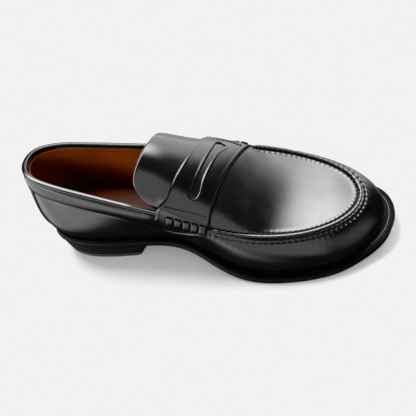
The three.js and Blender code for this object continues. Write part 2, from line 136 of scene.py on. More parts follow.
def bezier(a, b, c, d, t):
    return (1 - t) ** 3 * a + 3 * (1 - t) ** 2 * t * b + 3 * (1 - t) * t**2 * c + t**3 * d


def bell(x, centre, width):
    return np.exp(-((x - centre) / width) ** 2)


def gauss(values, sigma, periodic=False, axis=0):
    """values smoothed along axis with a bell of that many samples."""
    half = int(4 * sigma) + 1
    kernel = np.exp(-0.5 * (np.arange(-half, half + 1) / sigma) ** 2)
    kernel /= kernel.sum()
    moved = np.moveaxis(np.asarray(values, float), axis, 0)
    if periodic:
        padded = np.concatenate([moved[-half:], moved, moved[:half]])
    else:  # mirrored through the end points, which stay where they are
        head = 2 * moved[:1] - moved[half:0:-1]
        tail = 2 * moved[-1:] - moved[-2:-half - 2:-1]
        padded = np.concatenate([head, moved, tail])
    out = sum(k * padded[i:i + len(moved)] for i, k in enumerate(kernel))
    return np.moveaxis(out, 0, axis)


def catmull(table, s):
    """Closed Catmull-Rom curve through the table's rows, at s in rows."""
    s = np.asarray(s, float)
    i = np.floor(s).astype(int)
    t = (s - i)[..., None]
    a, b, c, d = [table[(i + k) % len(table)] for k in (-1, 0, 1, 2)]
    return 0.5 * (2 * b + (c - a) * t + (2 * a - 5 * b + 4 * c - d) * t**2 + (3 * b - a - 3 * c + d) * t**3)


def hermite(points, x):
    """Smooth curve through (x, value) points."""
    xs, ys = points[:, 0], points[:, 1]
    slopes = np.empty(len(xs))
    slopes[1:-1] = (ys[2:] - ys[:-2]) / (xs[2:] - xs[:-2])
    slopes[0] = (ys[1] - ys[0]) / (xs[1] - xs[0])
    slopes[-1] = (ys[-1] - ys[-2]) / (xs[-1] - xs[-2])
    i = np.clip(np.searchsorted(xs, x, side="right") - 1, 0, len(xs) - 2)
    span = xs[i + 1] - xs[i]
    t = clamp01((x - xs[i]) / span)
    return (
        (2 * t**3 - 3 * t**2 + 1) * ys[i] + (t**3 - 2 * t**2 + t) * span * slopes[i]
        + (3 * t**2 - 2 * t**3) * ys[i + 1] + (t**3 - t**2) * span * slopes[i + 1]
    )


FINE = 40  # samples per station of the smoothed pattern
last_table = gauss(catmull(PATTERN, np.arange(STATIONS * FINE) / FINE), 0.32 * FINE, periodic=True)
_xs = np.arange(0.0, 320.0, 0.5)
_underside = gauss(np.maximum(hermite(UNDERSIDE, _xs), 0), 8)
_instep = gauss(hermite(INSTEP, _xs), 10)
_instep = mix(_instep, hermite(INSTEP, _xs), ease(240, 262, _xs))


def last(s):
    """Rows of the smoothed pattern at the stations s."""
    return catmull(last_table, np.asarray(s, float) * FINE)


def underside(x):
    return np.interp(x, _xs, _underside)


def crown(x):
    return np.interp(x, _xs, _instep)


def rim(s):
    return last(s)[..., 2:5]


def outward(s):
    """Directions away from the foot line in plan."""
    e = 0.02
    d = last(np.asarray(s) + e)[..., :2] - last(np.asarray(s) - e)[..., :2]
    return unit(np.stack([d[..., 1], -d[..., 0]], -1))


def plan(s, reach):
    """x, y of the foot line moved outwards by reach."""
    return last(s)[..., :2] + outward(s) * np.asarray(reach, float)[..., None]


def welt_reach(s):
    side = mix(2.0, 5.5, ease(125, 175, last(s)[..., 0]))
    return mix(side, 10.0, ease(11, 12.8, s) * (1 - ease(14.8, 16.6, s)))


def wall(s, t):
    """Outer surface of the upper's side, from the foot line (t = 0) to the rim (t = 1)."""
    s, t = np.broadcast_arrays(np.asarray(s, float), np.asarray(t, float))
    row = last(s)
    n = np.concatenate([outward(s), np.zeros(s.shape + (1,))], -1)
    foot = np.concatenate([row[..., :2], (underside(row[..., 0]) + WALL_FOOT)[..., None]], -1)
    top = row[..., 2:5]
    height = (top - foot)[..., 2:3]
    vamp = ease(115, 185, top[..., 0])[..., None]
    heel = 1 - ease(20, 75, top[..., 0])[..., None]
    inner = ease(0, 20, top[..., 1])[..., None]
    low = foot + n * mix(4 + 8 * heel, 6, vamp) + SKY * mix(0.35, 0.22, heel) * height
    high = top + n * mix(1.5 - 3 * heel, 9.5 + 4 * inner, vamp) - SKY * mix(0.33, 0.02, vamp) * height
    return bezier(foot, low, high, top, t[..., None])


_side_s = {-1: np.linspace(0.2, TOE_STATION, 4000), 1: np.linspace(STATIONS - 0.8, TOE_STATION, 4000)}
_side_x = {k: rim(v)[:, 0] for k, v in _side_s.items()}


def station_at(x, side):
    return np.interp(x, _side_x[side], _side_s[side])


def roundness(x):
    """How much sharper than an ellipse the instep's cross-section is at x."""
    return mix(mix(1, 0.8, ease(145, 165, x)), 3.5, ease(170, 198, x))


def instep(x, angle, tuck=0.0):
    """The top of the foot at distance x, from the outer side (angle -90 degrees) to the inner side (+90)."""
    x, angle = np.broadcast_arrays(np.asarray(x, float), np.asarray(angle, float))
    outer, inner = rim(station_at(x, -1)), rim(station_at(x, 1))
    v = np.sin(angle)
    point = outer + (inner - outer) * ((v + 1) / 2)[..., None]
    point[..., 2] += crown(x) * np.maximum(np.cos(angle), 0) ** roundness(x)
    point[..., 1] -= tuck * v**3
    point[..., 0] = x
    return point


_ts = np.linspace(0, 1, 121)


def share_below(s, below):
    """How far up the wall a point at a distance below the rim lies."""
    s, below = np.broadcast_arrays(np.asarray(s, float), np.asarray(below, float))
    flat_s, flat_b = s.ravel(), below.ravel()
    out = np.empty(flat_s.shape)
    for value in np.unique(flat_s):
        curve = wall(value, _ts)
        length = path_length(curve)
        pick = flat_s == value
        out[pick] = np.interp(length[-1] - flat_b[pick], length, _ts)
    return out.reshape(s.shape)


# ------------------------------------------------------------------ from the pattern to the row frame
AROUND = np.arange(0, STATIONS, 0.05)
_ring = plan(AROUND, welt_reach(AROUND))
_low, _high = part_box("outsole")
ORIGIN = np.array([
    (_ring[:, 0].min() + _ring[:, 0].max()) / 2 - (_low.x + _high.x) * 500,
    (_ring[:, 1].min() + _ring[:, 1].max()) / 2 - (_low.y + _high.y) * 500,
    0.0,
])


def place(points):
    return (np.asarray(points, float) - ORIGIN) / 1000.0


# ------------------------------------------------------------------ materials
def new_material(name, base, roughness, **sockets):
    mat = bpy.data.materials.new(name)
    mat.use_nodes = True
    bsdf = mat.node_tree.nodes["Principled BSDF"]
    bsdf.inputs["Base Color"].default_value = (*base, 1)
    bsdf.inputs["Roughness"].default_value = roughness
    for key, value in sockets.items():
        bsdf.inputs[key.replace("_", " ")].default_value = value
    return mat, mat.node_tree, bsdf


def node(tree, kind, **values):
    made = tree.nodes.new(kind)
    for key, value in values.items():
        if hasattr(made, key):
            setattr(made, key, value)
        else:
            made.inputs[key.replace("_", " ")].default_value = value
    return made


def object_coords(tree):
    return node(tree, "ShaderNodeTexCoord").outputs["Object"]


def noise_height(tree, scale, detail=2.0):
    """Height pattern in object space; scale is per metre."""
    tex = node(tree, "ShaderNodeTexNoise", Scale=scale, Detail=detail, Roughness=0.55)
    tree.links.new(object_coords(tree), tex.inputs["Vector"])
    return tex.outputs["Fac"]


def smooth_range(tree, value, start, end, before, after):
    """before where value is under start, after where it is over end, and a smooth step between."""
    made = node(tree, "ShaderNodeMapRange", interpolation_type="SMOOTHSTEP")
    tree.links.new(value, made.inputs["Value"])
    for key, number in (("From Min", start), ("From Max", end), ("To Min", before), ("To Max", after)):
        made.inputs[key].default_value = number
    return made.outputs["Result"]


def add_bumps(tree, bsdf, layers):
    """layers: (height output, strength, distance in metres) laid over one another."""
    previous = None
    for height, strength, distance in layers:
        bump = node(tree, "ShaderNodeBump", Strength=strength, Distance=distance)
        tree.links.new(height, bump.inputs["Height"])
        if previous is not None:
            tree.links.new(previous, bump.inputs["Normal"])
        previous = bump.outputs["Normal"]
    tree.links.new(previous, bsdf.inputs["Normal"])


def varied(tree, socket, height, low, high):
    """Drives a socket with a pattern mapped from 0..1 to low..high (numbers or colours)."""
    ramp = node(tree, "ShaderNodeValToRGB")
    for stop, position, value in zip(ramp.color_ramp.elements, (0.3, 0.7), (low, high)):
        stop.position = position
        stop.color = (*(value if isinstance(value, tuple) else grey(value)), 1)
    tree.links.new(height, ramp.inputs["Fac"])
    tree.links.new(ramp.outputs["Color"], socket)


def grey(value):
    return (value, value, value)


def leather(name, dark, light, roughness, grain=0.25, specular=0.5, pores=1.0):
    """Leather in patches: its colour from dark to light, its roughness from the first to the second number."""
    mat, tree, bsdf = new_material(name, dark, roughness[0], Specular_IOR_Level=specular)
    varied(tree, bsdf.inputs["Base Color"], noise_height(tree, 28, 4), dark, light)
    varied(tree, bsdf.inputs["Roughness"], noise_height(tree, 60, 5), *roughness)
    waves, fine = noise_height(tree, 120, 2.0), noise_height(tree, 620, 0.5)
    add_bumps(tree, bsdf, [(waves, 0.12 * grain, 0.0006), (fine, grain, 0.00006 * pores)])
    return mat


BLACK = ((0.005, 0.005, 0.0053), (0.008, 0.008, 0.0085))
CALF = leather("calf", *BLACK, (0.17, 0.23), grain=0.12)
PLUG_CALF = leather("apron_calf", *BLACK, (0.24, 0.30), grain=0.16, pores=0.5)
TAN = ((0.105, 0.022, 0.0025), (0.155, 0.035, 0.0045))
LINING = leather("lining", *TAN, (0.42, 0.55), grain=0.5, specular=0.08)
RAW = ((0.30, 0.20, 0.12), (0.42, 0.29, 0.18))
LINING_EDGE = leather("lining_edge", *RAW, (0.6, 0.75), grain=0.6, specular=0.3)
SOLE = leather("sole", grey(0.006), grey(0.010), (0.34, 0.46), grain=0.5, specular=0.08)
WELT = leather("welt", grey(0.004), grey(0.007), (0.4, 0.5), grain=0.5, specular=0.03)
HEEL = leather("heel_stack", grey(0.006), grey(0.010), (0.36, 0.48), grain=0.4, specular=0.08)
BOARD = leather("board", (0.36, 0.24, 0.14), (0.46, 0.33, 0.20), (0.75, 0.9), grain=0.8, specular=0.3)


def paint_shade_by_height(mat, low, high, share, whole):
    """Paints shade into a leather's lower part and light into its upper part: its colour times share under the
    height low (m), times whole over high.
    """
    tree = mat.node_tree
    colour = tree.nodes["Principled BSDF"].inputs["Base Color"]
    split = node(tree, "ShaderNodeSeparateXYZ")
    tree.links.new(object_coords(tree), split.inputs[0])
    scaled = node(tree, "ShaderNodeVectorMath", operation="SCALE")
    tree.links.new(colour.links[0].from_socket, scaled.inputs[0])
    tree.links.new(smooth_range(tree, split.outputs["Z"], low, high, share, whole), scaled.inputs["Scale"])
    tree.links.new(scaled.outputs["Vector"], colour)


# painted shade and light: the lining is darker deep inside the shoe, where shade falls, and lighter near the
# topline
paint_shade_by_height(LINING, low=0.036, high=0.062, share=0.35, whole=1.25)


def granular(name, dark, light, scale, roughness, metallic=0.0, distance=0.0003):
    mat, tree, bsdf = new_material(name, dark, roughness, Metallic=metallic)
    height = noise_height(tree, scale, 6)
    varied(tree, bsdf.inputs["Base Color"], height, dark, light)
    add_bumps(tree, bsdf, [(height, 0.5, distance)])
    return mat


RUBBER = granular("rubber", grey(0.010), grey(0.020), 900, 0.7)
CORK = granular("cork", (0.22, 0.12, 0.06), (0.45, 0.28, 0.15), 500, 0.95, distance=0.0008)
STEEL = granular("steel", (0.45, 0.46, 0.47), (0.6, 0.61, 0.62), 700, 0.38, metallic=1.0, distance=0.00005)
BRASS = granular("brass", (0.55, 0.38, 0.15), (0.72, 0.52, 0.24), 700, 0.42, metallic=1.0, distance=0.00005)


def thread_material():
    """Waxed linen thread: a fine twist along its length."""
    mat, tree, bsdf = new_material("thread", grey(0.006), 0.7, Specular_IOR_Level=0.15)
    settings = {"bands_direction": "DIAGONAL", "Scale": 1500.0, "Distortion": 2.0, "Detail": 1.0}
    wave = node(tree, "ShaderNodeTexWave", **settings)
    tree.links.new(object_coords(tree), wave.inputs["Vector"])
    varied(tree, bsdf.inputs["Base Color"], noise_height(tree, 900, 3), grey(0.004), grey(0.012))
    add_bumps(tree, bsdf, [(wave.outputs["Fac"], 0.6, 0.0001)])
    return mat


THREAD = thread_material()


# ------------------------------------------------------------------ meshes
def linked(name, data):
    """A new object in the scene."""
    obj = bpy.data.objects.new(name, data)
    bpy.context.scene.collection.objects.link(obj)
    return obj


def make_object(name, points, faces, material, replaced=None, slot=None, body="shoe", sharp=40):
    """A piece from points in mm. It replaces the frame's node of its own name, or those in replaced."""
    mesh = bpy.data.meshes.new(name)
    mesh.from_pydata(place(points).tolist(), [], faces)
    mesh.validate()
    mesh.polygons.foreach_set("use_smooth", [True] * len(mesh.polygons))
    if sharp:
        mesh.set_sharp_from_angle(angle=math.radians(sharp))
    mesh.materials.append(material)
    obj = linked(name, mesh)
    if body:
        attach(obj, body)
    if replaced or name in frame["nodes"]:
        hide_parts(*(replaced or (name,)))
    return obj


def weld(obj, distance):
    bm = bmesh.new()
    bm.from_mesh(obj.data)
    bmesh.ops.remove_doubles(bm, verts=bm.verts, dist=distance)
    bm.to_mesh(obj.data)
    bm.free()


def normals_of(grid):
    n = np.cross(np.gradient(grid, axis=0), np.gradient(grid, axis=1))
    return n / np.maximum(np.linalg.norm(n, axis=-1, keepdims=True), 1e-9)


def edge_distance(grid, edges):
    """Distance in mm from each grid point to the nearest of the edges: i0, i1 (first, last row), j0, j1."""
    along_i, along_j = path_length(grid), path_length(grid, axis=1)
    ways = {"i0": along_i, "i1": along_i[-1:] - along_i, "j0": along_j, "j1": along_j[:, -1:] - along_j}
    return np.min([ways[edge] for edge in edges], axis=0)


def rounded(distance, radius):
    d = clamp01(distance / radius)
    return np.sqrt(np.maximum(1 - (1 - d) ** 2, 0))


def quads(n, m, wrap=False, start=0):
    i, j = np.meshgrid(np.arange(n if wrap else n - 1), np.arange(m - 1), indexing="ij")
    a = start + i * m + j
    b = start + ((i + 1) % n) * m + j
    return np.stack([a, b, b + 1, a + 1], -1).reshape(-1, 4)


def strip(a, b, size):
    """Faces down from the upper points a and b to the lower ones, which are numbered size further on."""
    return np.stack([a, b, b + size, a + size], -1)


def side_walls(index, skipped=()):
    """Faces round the rim of a sheet whose upper points are numbered by the grid index."""
    cols = np.setdiff1d(np.arange(index.shape[1] - 1), skipped)
    pairs = [(index[1:, 0], index[:-1, 0]), (index[:-1, -1], index[1:, -1]),
             (index[0, cols], index[0, cols + 1]), (index[-1, cols + 1], index[-1, cols])]
    return [strip(a, b, index.size) for a, b in pairs]


def closed_faces(n, m):
    """Faces of an n by m sheet over another, closed round their rim."""
    sheets = [quads(n, m), quads(n, m, start=n * m)[:, ::-1]]
    return np.concatenate(sheets + side_walls(np.arange(n * m).reshape(n, m)))


def stacked(upper, lower):
    return np.concatenate([upper.reshape(-1, 3), lower.reshape(-1, 3)])


def shell(name, grid, bottom, top, material, edges=(), radius=1.0, relief=0.0, flip=False, **options):
    """Closed leather over a grid of surface points: its under side at depth bottom, its face at depth top."""
    normal = normals_of(grid) * (-1 if flip else 1)
    high = np.full(grid.shape[:2], float(top))
    if edges:
        high = bottom + (high - bottom) * (0.3 + 0.7 * rounded(edge_distance(grid, edges), radius))
    high = high + relief
    faces = closed_faces(*grid.shape[:2])
    if flip:
        faces = faces[:, ::-1]
    points = stacked(grid + normal * high[..., None], grid + normal * bottom)
    return make_object(name, points, faces.tolist(), material, **options)


def undulate(points, amplitude, wavelength, seed):
    """Slow random unevenness, so that polished leather doesn't reflect like glass."""
    local = np.random.default_rng(seed)
    total = np.zeros(points.shape[:-1])
    for _ in range(9):
        direction = unit(local.normal(size=3))
        wave = 2 * math.pi / (wavelength * local.uniform(0.7, 1.8))
        total += np.sin(points @ direction * wave + local.uniform(0, 6.28))
    return total * amplitude / 3


def loft(loops):
    """Points and faces through equal closed loops (count, size, 3), capped at both ends."""
    count, size = loops.shape[:2]
    i, j = np.meshgrid(np.arange(count - 1), np.arange(size), indexing="ij")
    a, d = i * size + j, i * size + (j + 1) % size
    faces = np.stack([a, a + size, d + size, d], -1).reshape(-1, 4).tolist()
    faces += [list(range(size)), list(range((count - 1) * size, count * size))[::-1]]
    return loops.reshape(-1, 3), faces


def turned_over(points, faces):
    return points, [face[::-1] for face in faces]


def frames_along(path, normal_hint):
    """Directions along a path, to its side and upwards."""
    tangent = unit(np.gradient(path, axis=0))
    side = unit(np.cross(tangent, normal_hint))
    return tangent, side, np.cross(side, tangent)


def tilted(normals, degrees):
    """Level and upward directions on a wall, leaned over so that the upward one points a little outwards."""
    level = unit(normals * np.array([1, 1, 0]))
    tilt = math.radians(degrees)
    return level * math.cos(tilt) - SKY * math.sin(tilt), SKY * math.cos(tilt) + level * math.sin(tilt)


def squarish(value, power):
    """Turns the sine or cosine of a circle into that of a rounded square, squarer for a lower power."""
    return np.copysign(np.abs(value) ** power, value)


def tube_mesh(path, up_hint, radius, sides=8):
    """A cord along path; radius may vary along it."""
    _, side, up = frames_along(path, up_hint)
    angle = np.arange(sides) * 2 * math.pi / sides
    ring = np.cos(angle)[None, :, None] * side[:, None] + np.sin(angle)[None, :, None] * up[:, None]
    return loft(path[:, None] + ring * np.broadcast_to(radius, len(path))[:, None, None])


def join_meshes(parts):
    points, faces, start = [], [], 0
    for p, f in parts:
        points.append(p)
        faces += [[i + start for i in face] for face in f]
        start += len(p)
    return np.concatenate(points), faces


def stitch(a, b, normal, radius):
    """One stitch from hole a to hole b, rising out of the leather and going back in."""
    t = np.linspace(0, 1, 9)[:, None]
    arch = np.sin(math.pi * t)
    rise = arch**0.5 * 1.1 - 0.25 - (1 - arch**0.3) * 1.2
    r = radius * (0.72 + 0.28 * arch[:, 0] ** 0.6)
    return tube_mesh(a + (b - a) * t + normal * (rise * radius), np.repeat(normal[None], len(t), 0), r, 7)


def resample(path, spacing):
    """The path's own index every spacing mm along it."""
    steps = path_length(path)
    return np.interp(np.arange(0, steps[-1], spacing), steps, np.arange(len(path)))


def at_index(values, index):
    low = np.clip(np.floor(index).astype(int), 0, len(values) - 2)
    return mix(values[low], values[low + 1], (index - low)[:, None])


def stitch_row(name, path, normal, spacing, length, radius, **options):
    """Running stitches on a surface path."""
    parts = []
    index = resample(path, spacing)
    step = np.diff(index, append=index[-1] + (index[-1] - index[-2]))
    reach = length / spacing / 2
    for start, pace in zip(index[:-1], step):
        wobble = rng.normal(0, 0.02)
        first, second = at_index(path, start + pace * (np.array([0.5 - reach, 0.5 + reach]) + wobble))
        up = at_index(normal, np.array([start + pace * 0.5]))[0]
        parts.append(stitch(first, second, unit(up), radius))
    return make_object(name, *join_meshes(parts), THREAD, sharp=0, **options)


def wall_normal(s, t):
    e = 0.01
    t = np.clip(t, e, 1 - e)
    return unit(np.cross(wall(s + e, t) - wall(s - e, t), wall(s, t + e) - wall(s, t - e)))


def off_wall(s, below, height):
    """Points at a distance below the rim and a height off the wall, and the wall's normals there."""
    t = share_below(s, below)
    n = wall_normal(s, t)
    return wall(s, t) + n * np.asarray(height)[..., None], n


def dense(low, high, step, edge=0.0):
    """Values from low to high, about step apart, and closer within edge of each end."""
    def even(a, b):
        return np.linspace(a, b, max(2, int(round((b - a) / step)) + 1))

    if not edge:
        return even(low, high)
    ramp = edge * np.array([0, 0.06, 0.15, 0.28, 0.45, 0.7, 1.0])
    return np.concatenate([low + ramp[:-1], even(low + edge, high - edge), (high - ramp[::-1])[1:]])


# ------------------------------------------------------------------ lines of the design
def strap_back(angle):
    flare = 7.0 * ease(math.radians(57), math.radians(88), np.abs(angle))
    return 126 + 16.5 * np.sin(angle) - flare


def strap_front(angle):
    v = np.sin(angle)
    return 156 + 18.5 * v + 3.5 * v * v


def tongue_back(angle):
    return 97.7 + 12 * np.sin(angle) + 18 * np.maximum(4 * np.abs(angle) / math.pi - 1, 0) ** 3


def away_from_back(s):
    s = np.mod(s, STATIONS)
    return np.minimum(s, STATIONS - s)


def collar_depth(s):
    """Width of the collar band at station s, outer or inner side."""
    away = np.where(s > STATIONS / 2, STATIONS - s, s)
    return 13.5 + 1.5 * (1 - ease(0.3, 1.6, away)) + 6.5 * ease(3.3, 4.95, away)


SIDES = (("outer", -1), ("inner", 1))
COLLAR_END = {"outer": 4.95, "inner": 20.62}
BACKSTAY_HALF = 0.95
SIDE_SEAM = {"outer": 6.1, "inner": 19.6}
CALF_DEPTH = 1.5  # thickness of the upper's leather
ROW_SPACING = 4.7  # of the apron's hand stitches
S_STEP = 0.028
SECOND_ROW = 4.9  # mm below the rim

# distance along the rim in mm for each station, for things that repeat along it
_rim_s = np.linspace(0, STATIONS, 5401)
_rim_length = path_length(rim(_rim_s))


def stitch_phase(s):
    """Angle at each station that turns once from one of the apron's hand stitches to the next."""
    return 2 * math.pi * np.interp(s, _rim_s, _rim_length) / ROW_SPACING


# ------------------------------------------------------------------ upper
def wall_patch(low, high, step, shares):
    """Stations from low to high, and the wall's points there at the given shares of its height."""
    s = dense(low, high, step)
    return s, wall(s[:, None], shares[None])


def foot_turn(grid):
    """How far the leather is turned in just above the welt."""
    return 0.9 * (1 - rounded(edge_distance(grid, ("j0",)), 2.2))


def build_wall():
    shares = 1 - (1 - np.linspace(0, 1, 64)) ** 1.35  # closer together near the rim
    for name, low, high, seed in (
        ("quarter_outer", 0.0, SIDE_SEAM["outer"], 3),
        ("quarter_inner", SIDE_SEAM["inner"], float(STATIONS), 4),
    ):
        s, grid = wall_patch(low, high, S_STEP, shares)
        below = edge_distance(grid, ("j1",))
        # the leather is drawn in where the collar's lower edge is stitched down, and thinner under the roll
        drawn_in = 0.2 * bell(below, collar_depth(s)[:, None], 1.6) * (away_from_back(s)[:, None] < 5.2)
        relief = undulate(grid, 0.10, 34, seed) - drawn_in - 1.3 * ease(2.5, 0.5, below) - foot_turn(grid)
        shell(name, grid, -CALF_DEPTH, 0.0, CALF, relief=relief)

    s, grid = wall_patch(SIDE_SEAM["outer"], SIDE_SEAM["inner"], S_STEP, shares)
    below = edge_distance(grid, ("j1",))
    phase = stitch_phase(s)[:, None]
    front = ease(SIDE_SEAM["outer"] + 0.4, SIDE_SEAM["outer"] + 0.75, s)
    front *= 1 - ease(SIDE_SEAM["inner"] - 0.75, SIDE_SEAM["inner"] - 0.4, s)
    # between the ridge and the second row the leather is gathered into small pleats
    jitter = undulate(grid, 0.35, 9, 12)
    gathers = 0.10 * np.cos(phase + 0.6 * jitter) * bell(below, 4.2, 2.6) + 0.05 * bell(below, 2.9, 1.5)
    gathers -= 0.55 * bell(below, SECOND_ROW, 0.75) * (0.62 - 0.38 * np.cos(phase))
    gathers += 0.05 * np.cos(phase) * np.exp(-below / 9.0) - 0.9 * bell(below, 0, 0.8)
    relief = undulate(grid, 0.09, 38, 5) + front[:, None] * gathers - foot_turn(grid)
    shell("vamp", grid, -CALF_DEPTH, 0.0, CALF, relief=relief)


def build_linings():
    _, grid = wall_patch(SIDE_SEAM["inner"] - STATIONS, SIDE_SEAM["outer"], 0.045, np.linspace(0.0, 0.95, 40))
    shell("quarter_lining", grid, -3.3, -4.3, LINING, relief=undulate(grid, 0.12, 26, 21))
    _, grid = wall_patch(SIDE_SEAM["outer"], SIDE_SEAM["inner"], 0.06, np.linspace(0.0, 0.96, 30))
    shell("vamp_lining", grid, -4.3, -3.3, LINING)
    for name, low, high, top in (("heel_counter", -3.15, 3.15, 0.72), ("toe_puff", 10.5, 17.15, 0.85)):
        _, grid = wall_patch(low, high, 0.06, np.linspace(0.04, top, 24))
        shell(name, grid, -2.9, -1.8, BOARD, edges=("i0", "i1", "j1"), radius=4.0)


def build_backstay():
    s = dense(-BACKSTAY_HALF, BACKSTAY_HALF, S_STEP, edge=0.07)
    grid = wall(s[:, None], share_below(s, collar_depth(s) - 2.0)[:, None] * np.linspace(0, 1, 60))
    relief = undulate(grid, 0.05, 20, 31) - 0.22 * bell(edge_distance(grid, ("i0", "i1")), 1.9, 0.5)
    shell("backstay", grid, 0.02, 1.05, CALF, edges=("i0", "i1"), radius=0.8, relief=relief)
    for sign, side in ((-1, "inner"), (1, "outer")):
        s = np.full(300, sign * (BACKSTAY_HALF - 0.115))
        t = np.linspace(0.03, 1, 300) * share_below(s[:1], 16.0)
        n = wall_normal(s, t)
        stitch_row(f"backstay_stitch_{side}", wall(s, t) + n * 0.95, n, spacing=2.4, length=1.8, radius=0.2)


def build_collar():
    """The binding that wraps the topline: a padded band outside, a rolled edge and a narrow facing inside."""
    s = dense(COLLAR_END["inner"] - STATIONS, COLLAR_END["outer"], 0.03)
    depth = collar_depth(np.mod(s, STATIONS))
    # it runs flat in under the strap's flaps
    thin = 0.25 + 0.75 * ease(0.02, 0.35, np.minimum(s - s[0], s[-1] - s))
    # share of the depth, height
    lower_edge = [(1.0, 0.02), (1.0, 0.3), (0.992, 0.48), (0.975, 0.58), (0.94, 0.6)]
    points = [off_wall(s, share * depth, height)[0] for share, height in lower_edge]
    for share in np.linspace(0.9, 0.16, 12):
        upwards = (0.94 - share) / 0.8
        height = 0.6 + 0.35 * upwards + 0.7 * math.sin(math.pi * upwards) ** 0.8
        points.append(off_wall(s, share * depth, height * thin)[0])
    bead_radius, bead_power, lean = 1.95, 0.62, 7
    bead_side, bead_top = tilted(wall_normal(s, np.full(s.shape, 0.985)), lean)
    for angle in np.radians(np.linspace(-28, 212, 21)):
        across = bead_radius * squarish(math.cos(angle), bead_power)
        height = bead_radius * squarish(math.sin(angle), bead_power)
        points.append(rim(s) + bead_top * (height - 0.5) + bead_side * (across - 0.85))
    facing = [(2.2, -2.15), (2.7, -2.55), (3.4, -2.75), (4.6, -2.8), (5.3, -2.75), (5.6, -2.5), (5.6, -1.9),
              (4.0, -1.85), (1.0, -1.7), (1.0, 0.02), (4.0, 0.0)]  # below the rim, height
    points += [off_wall(s, below, height)[0] for below, height in facing]
    make_object("topline_collar", *turned_over(*loft(np.stack(points, 1))), CALF, sharp=50)
    fine = np.linspace(s[0] + 0.02, s[-1] - 0.05, 1500)
    below = collar_depth(np.mod(fine, STATIONS)) - 1.35
    stitch_row("collar_stitch", *off_wall(fine, below, 0.72), spacing=2.6, length=2.0, radius=0.2)


# ------------------------------------------------------------------ apron
def instep_height(x, y):
    """Height of the instep surface over a point of the plan."""
    outer, inner = rim(station_at(x, -1)), rim(station_at(x, 1))
    width = np.maximum(inner[..., 1] - outer[..., 1], 1e-6)
    v = np.clip((y - outer[..., 1]) / width * 2 - 1, -1, 1)
    base = mix(outer[..., 2], inner[..., 2], (v + 1) / 2)
    return base + crown(x) * np.maximum(1 - v * v, 0) ** (roundness(x) / 2)


def apron_rays():
    """Stations on the rim and, for each, the point on the apron's middle line its ray starts from."""
    turn = 222.0  # the middle line ends here and the rays fan out from its end
    f = np.linspace(0, 1, 130)
    x_out, x_in = mix(124.0, turn - 4, f), mix(148.0, turn - 4, f)
    spine_x = (x_out + x_in) / 2 + 4 * f
    front = np.linspace(station_at(turn - 4, -1), station_at(turn - 4, 1), 241)[1:-1]
    s = np.concatenate([station_at(x_out, -1), front, station_at(x_in, 1)[::-1]])
    x = np.concatenate([spine_x, np.full(len(front), spine_x[-1]), spine_x[::-1]])
    return s, np.stack([x, (x - 136) / 86 * 4.5 - 2.0], -1)


def build_apron():
    s, spine = apron_rays()
    edge = rim(s)
    u = np.concatenate([np.linspace(0, 0.86, 44)[:-1], 0.86 + 0.14 * (1 - (1 - np.linspace(0, 1, 22)) ** 1.4)])
    xy = spine[:, None] + (edge[:, :2] - spine)[:, None] * u[:, None]
    x, y = xy[..., 0], xy[..., 1]
    z = instep_height(x, y)
    z[:, -1] = edge[:, 2]
    grid = np.concatenate([xy, z[..., None]], -1)
    inside = np.linalg.norm(grid - grid[:, -1:], axis=-1)  # mm in from the seam
    phase = stitch_phase(s)[:, None]
    pulled = 0.9 * bell(inside, 1.9, 0.9) * (0.55 - 0.45 * np.cos(phase)) + bell(inside, 0, 0.9)
    pillow = 0.28 * bell(inside, 3.8, 1.7) * (0.7 - 0.3 * np.cos(phase))
    relief = undulate(grid, 0.07, 42, 8) * ease(0, 12, inside) - pulled + pillow
    e = 0.6
    gx = (instep_height(x + e, y) - instep_height(x - e, y)) / (2 * e)
    gy = (instep_height(x, y + e) - instep_height(x, y - e)) / (2 * e)
    slope = np.stack([-gx, -gy, np.ones_like(gx)], -1)
    slope[:, -3:] = slope[:, -4:-3]
    slope = unit(slope)
    n, m = inside.shape
    rim_wall = side_walls(np.arange(n * m).reshape(n, m))[1]
    faces = np.concatenate([quads(n, m)[:, ::-1], quads(n, m, start=n * m), rim_wall]).tolist()
    for name, high, low, material in (
        ("plug", relief, -CALF_DEPTH, PLUG_CALF),
        ("plug_lining", np.full((n, m), -1.8), -2.8, LINING),
    ):
        points = stacked(grid + slope * high[..., None], grid + slope * low)
        weld(make_object(name, points, faces, material, sharp=0), 1e-6)
    build_apron_seam()


# bends of one whip stitch over the ridge: mm in from the rim, up, and along the seam
SEAM_STITCH = np.array([(3.1, -0.5, -0.7), (2.3, 0.25, -0.21), (1.5, 1.15, 0.21), (0.7, 1.0, 0.56)])


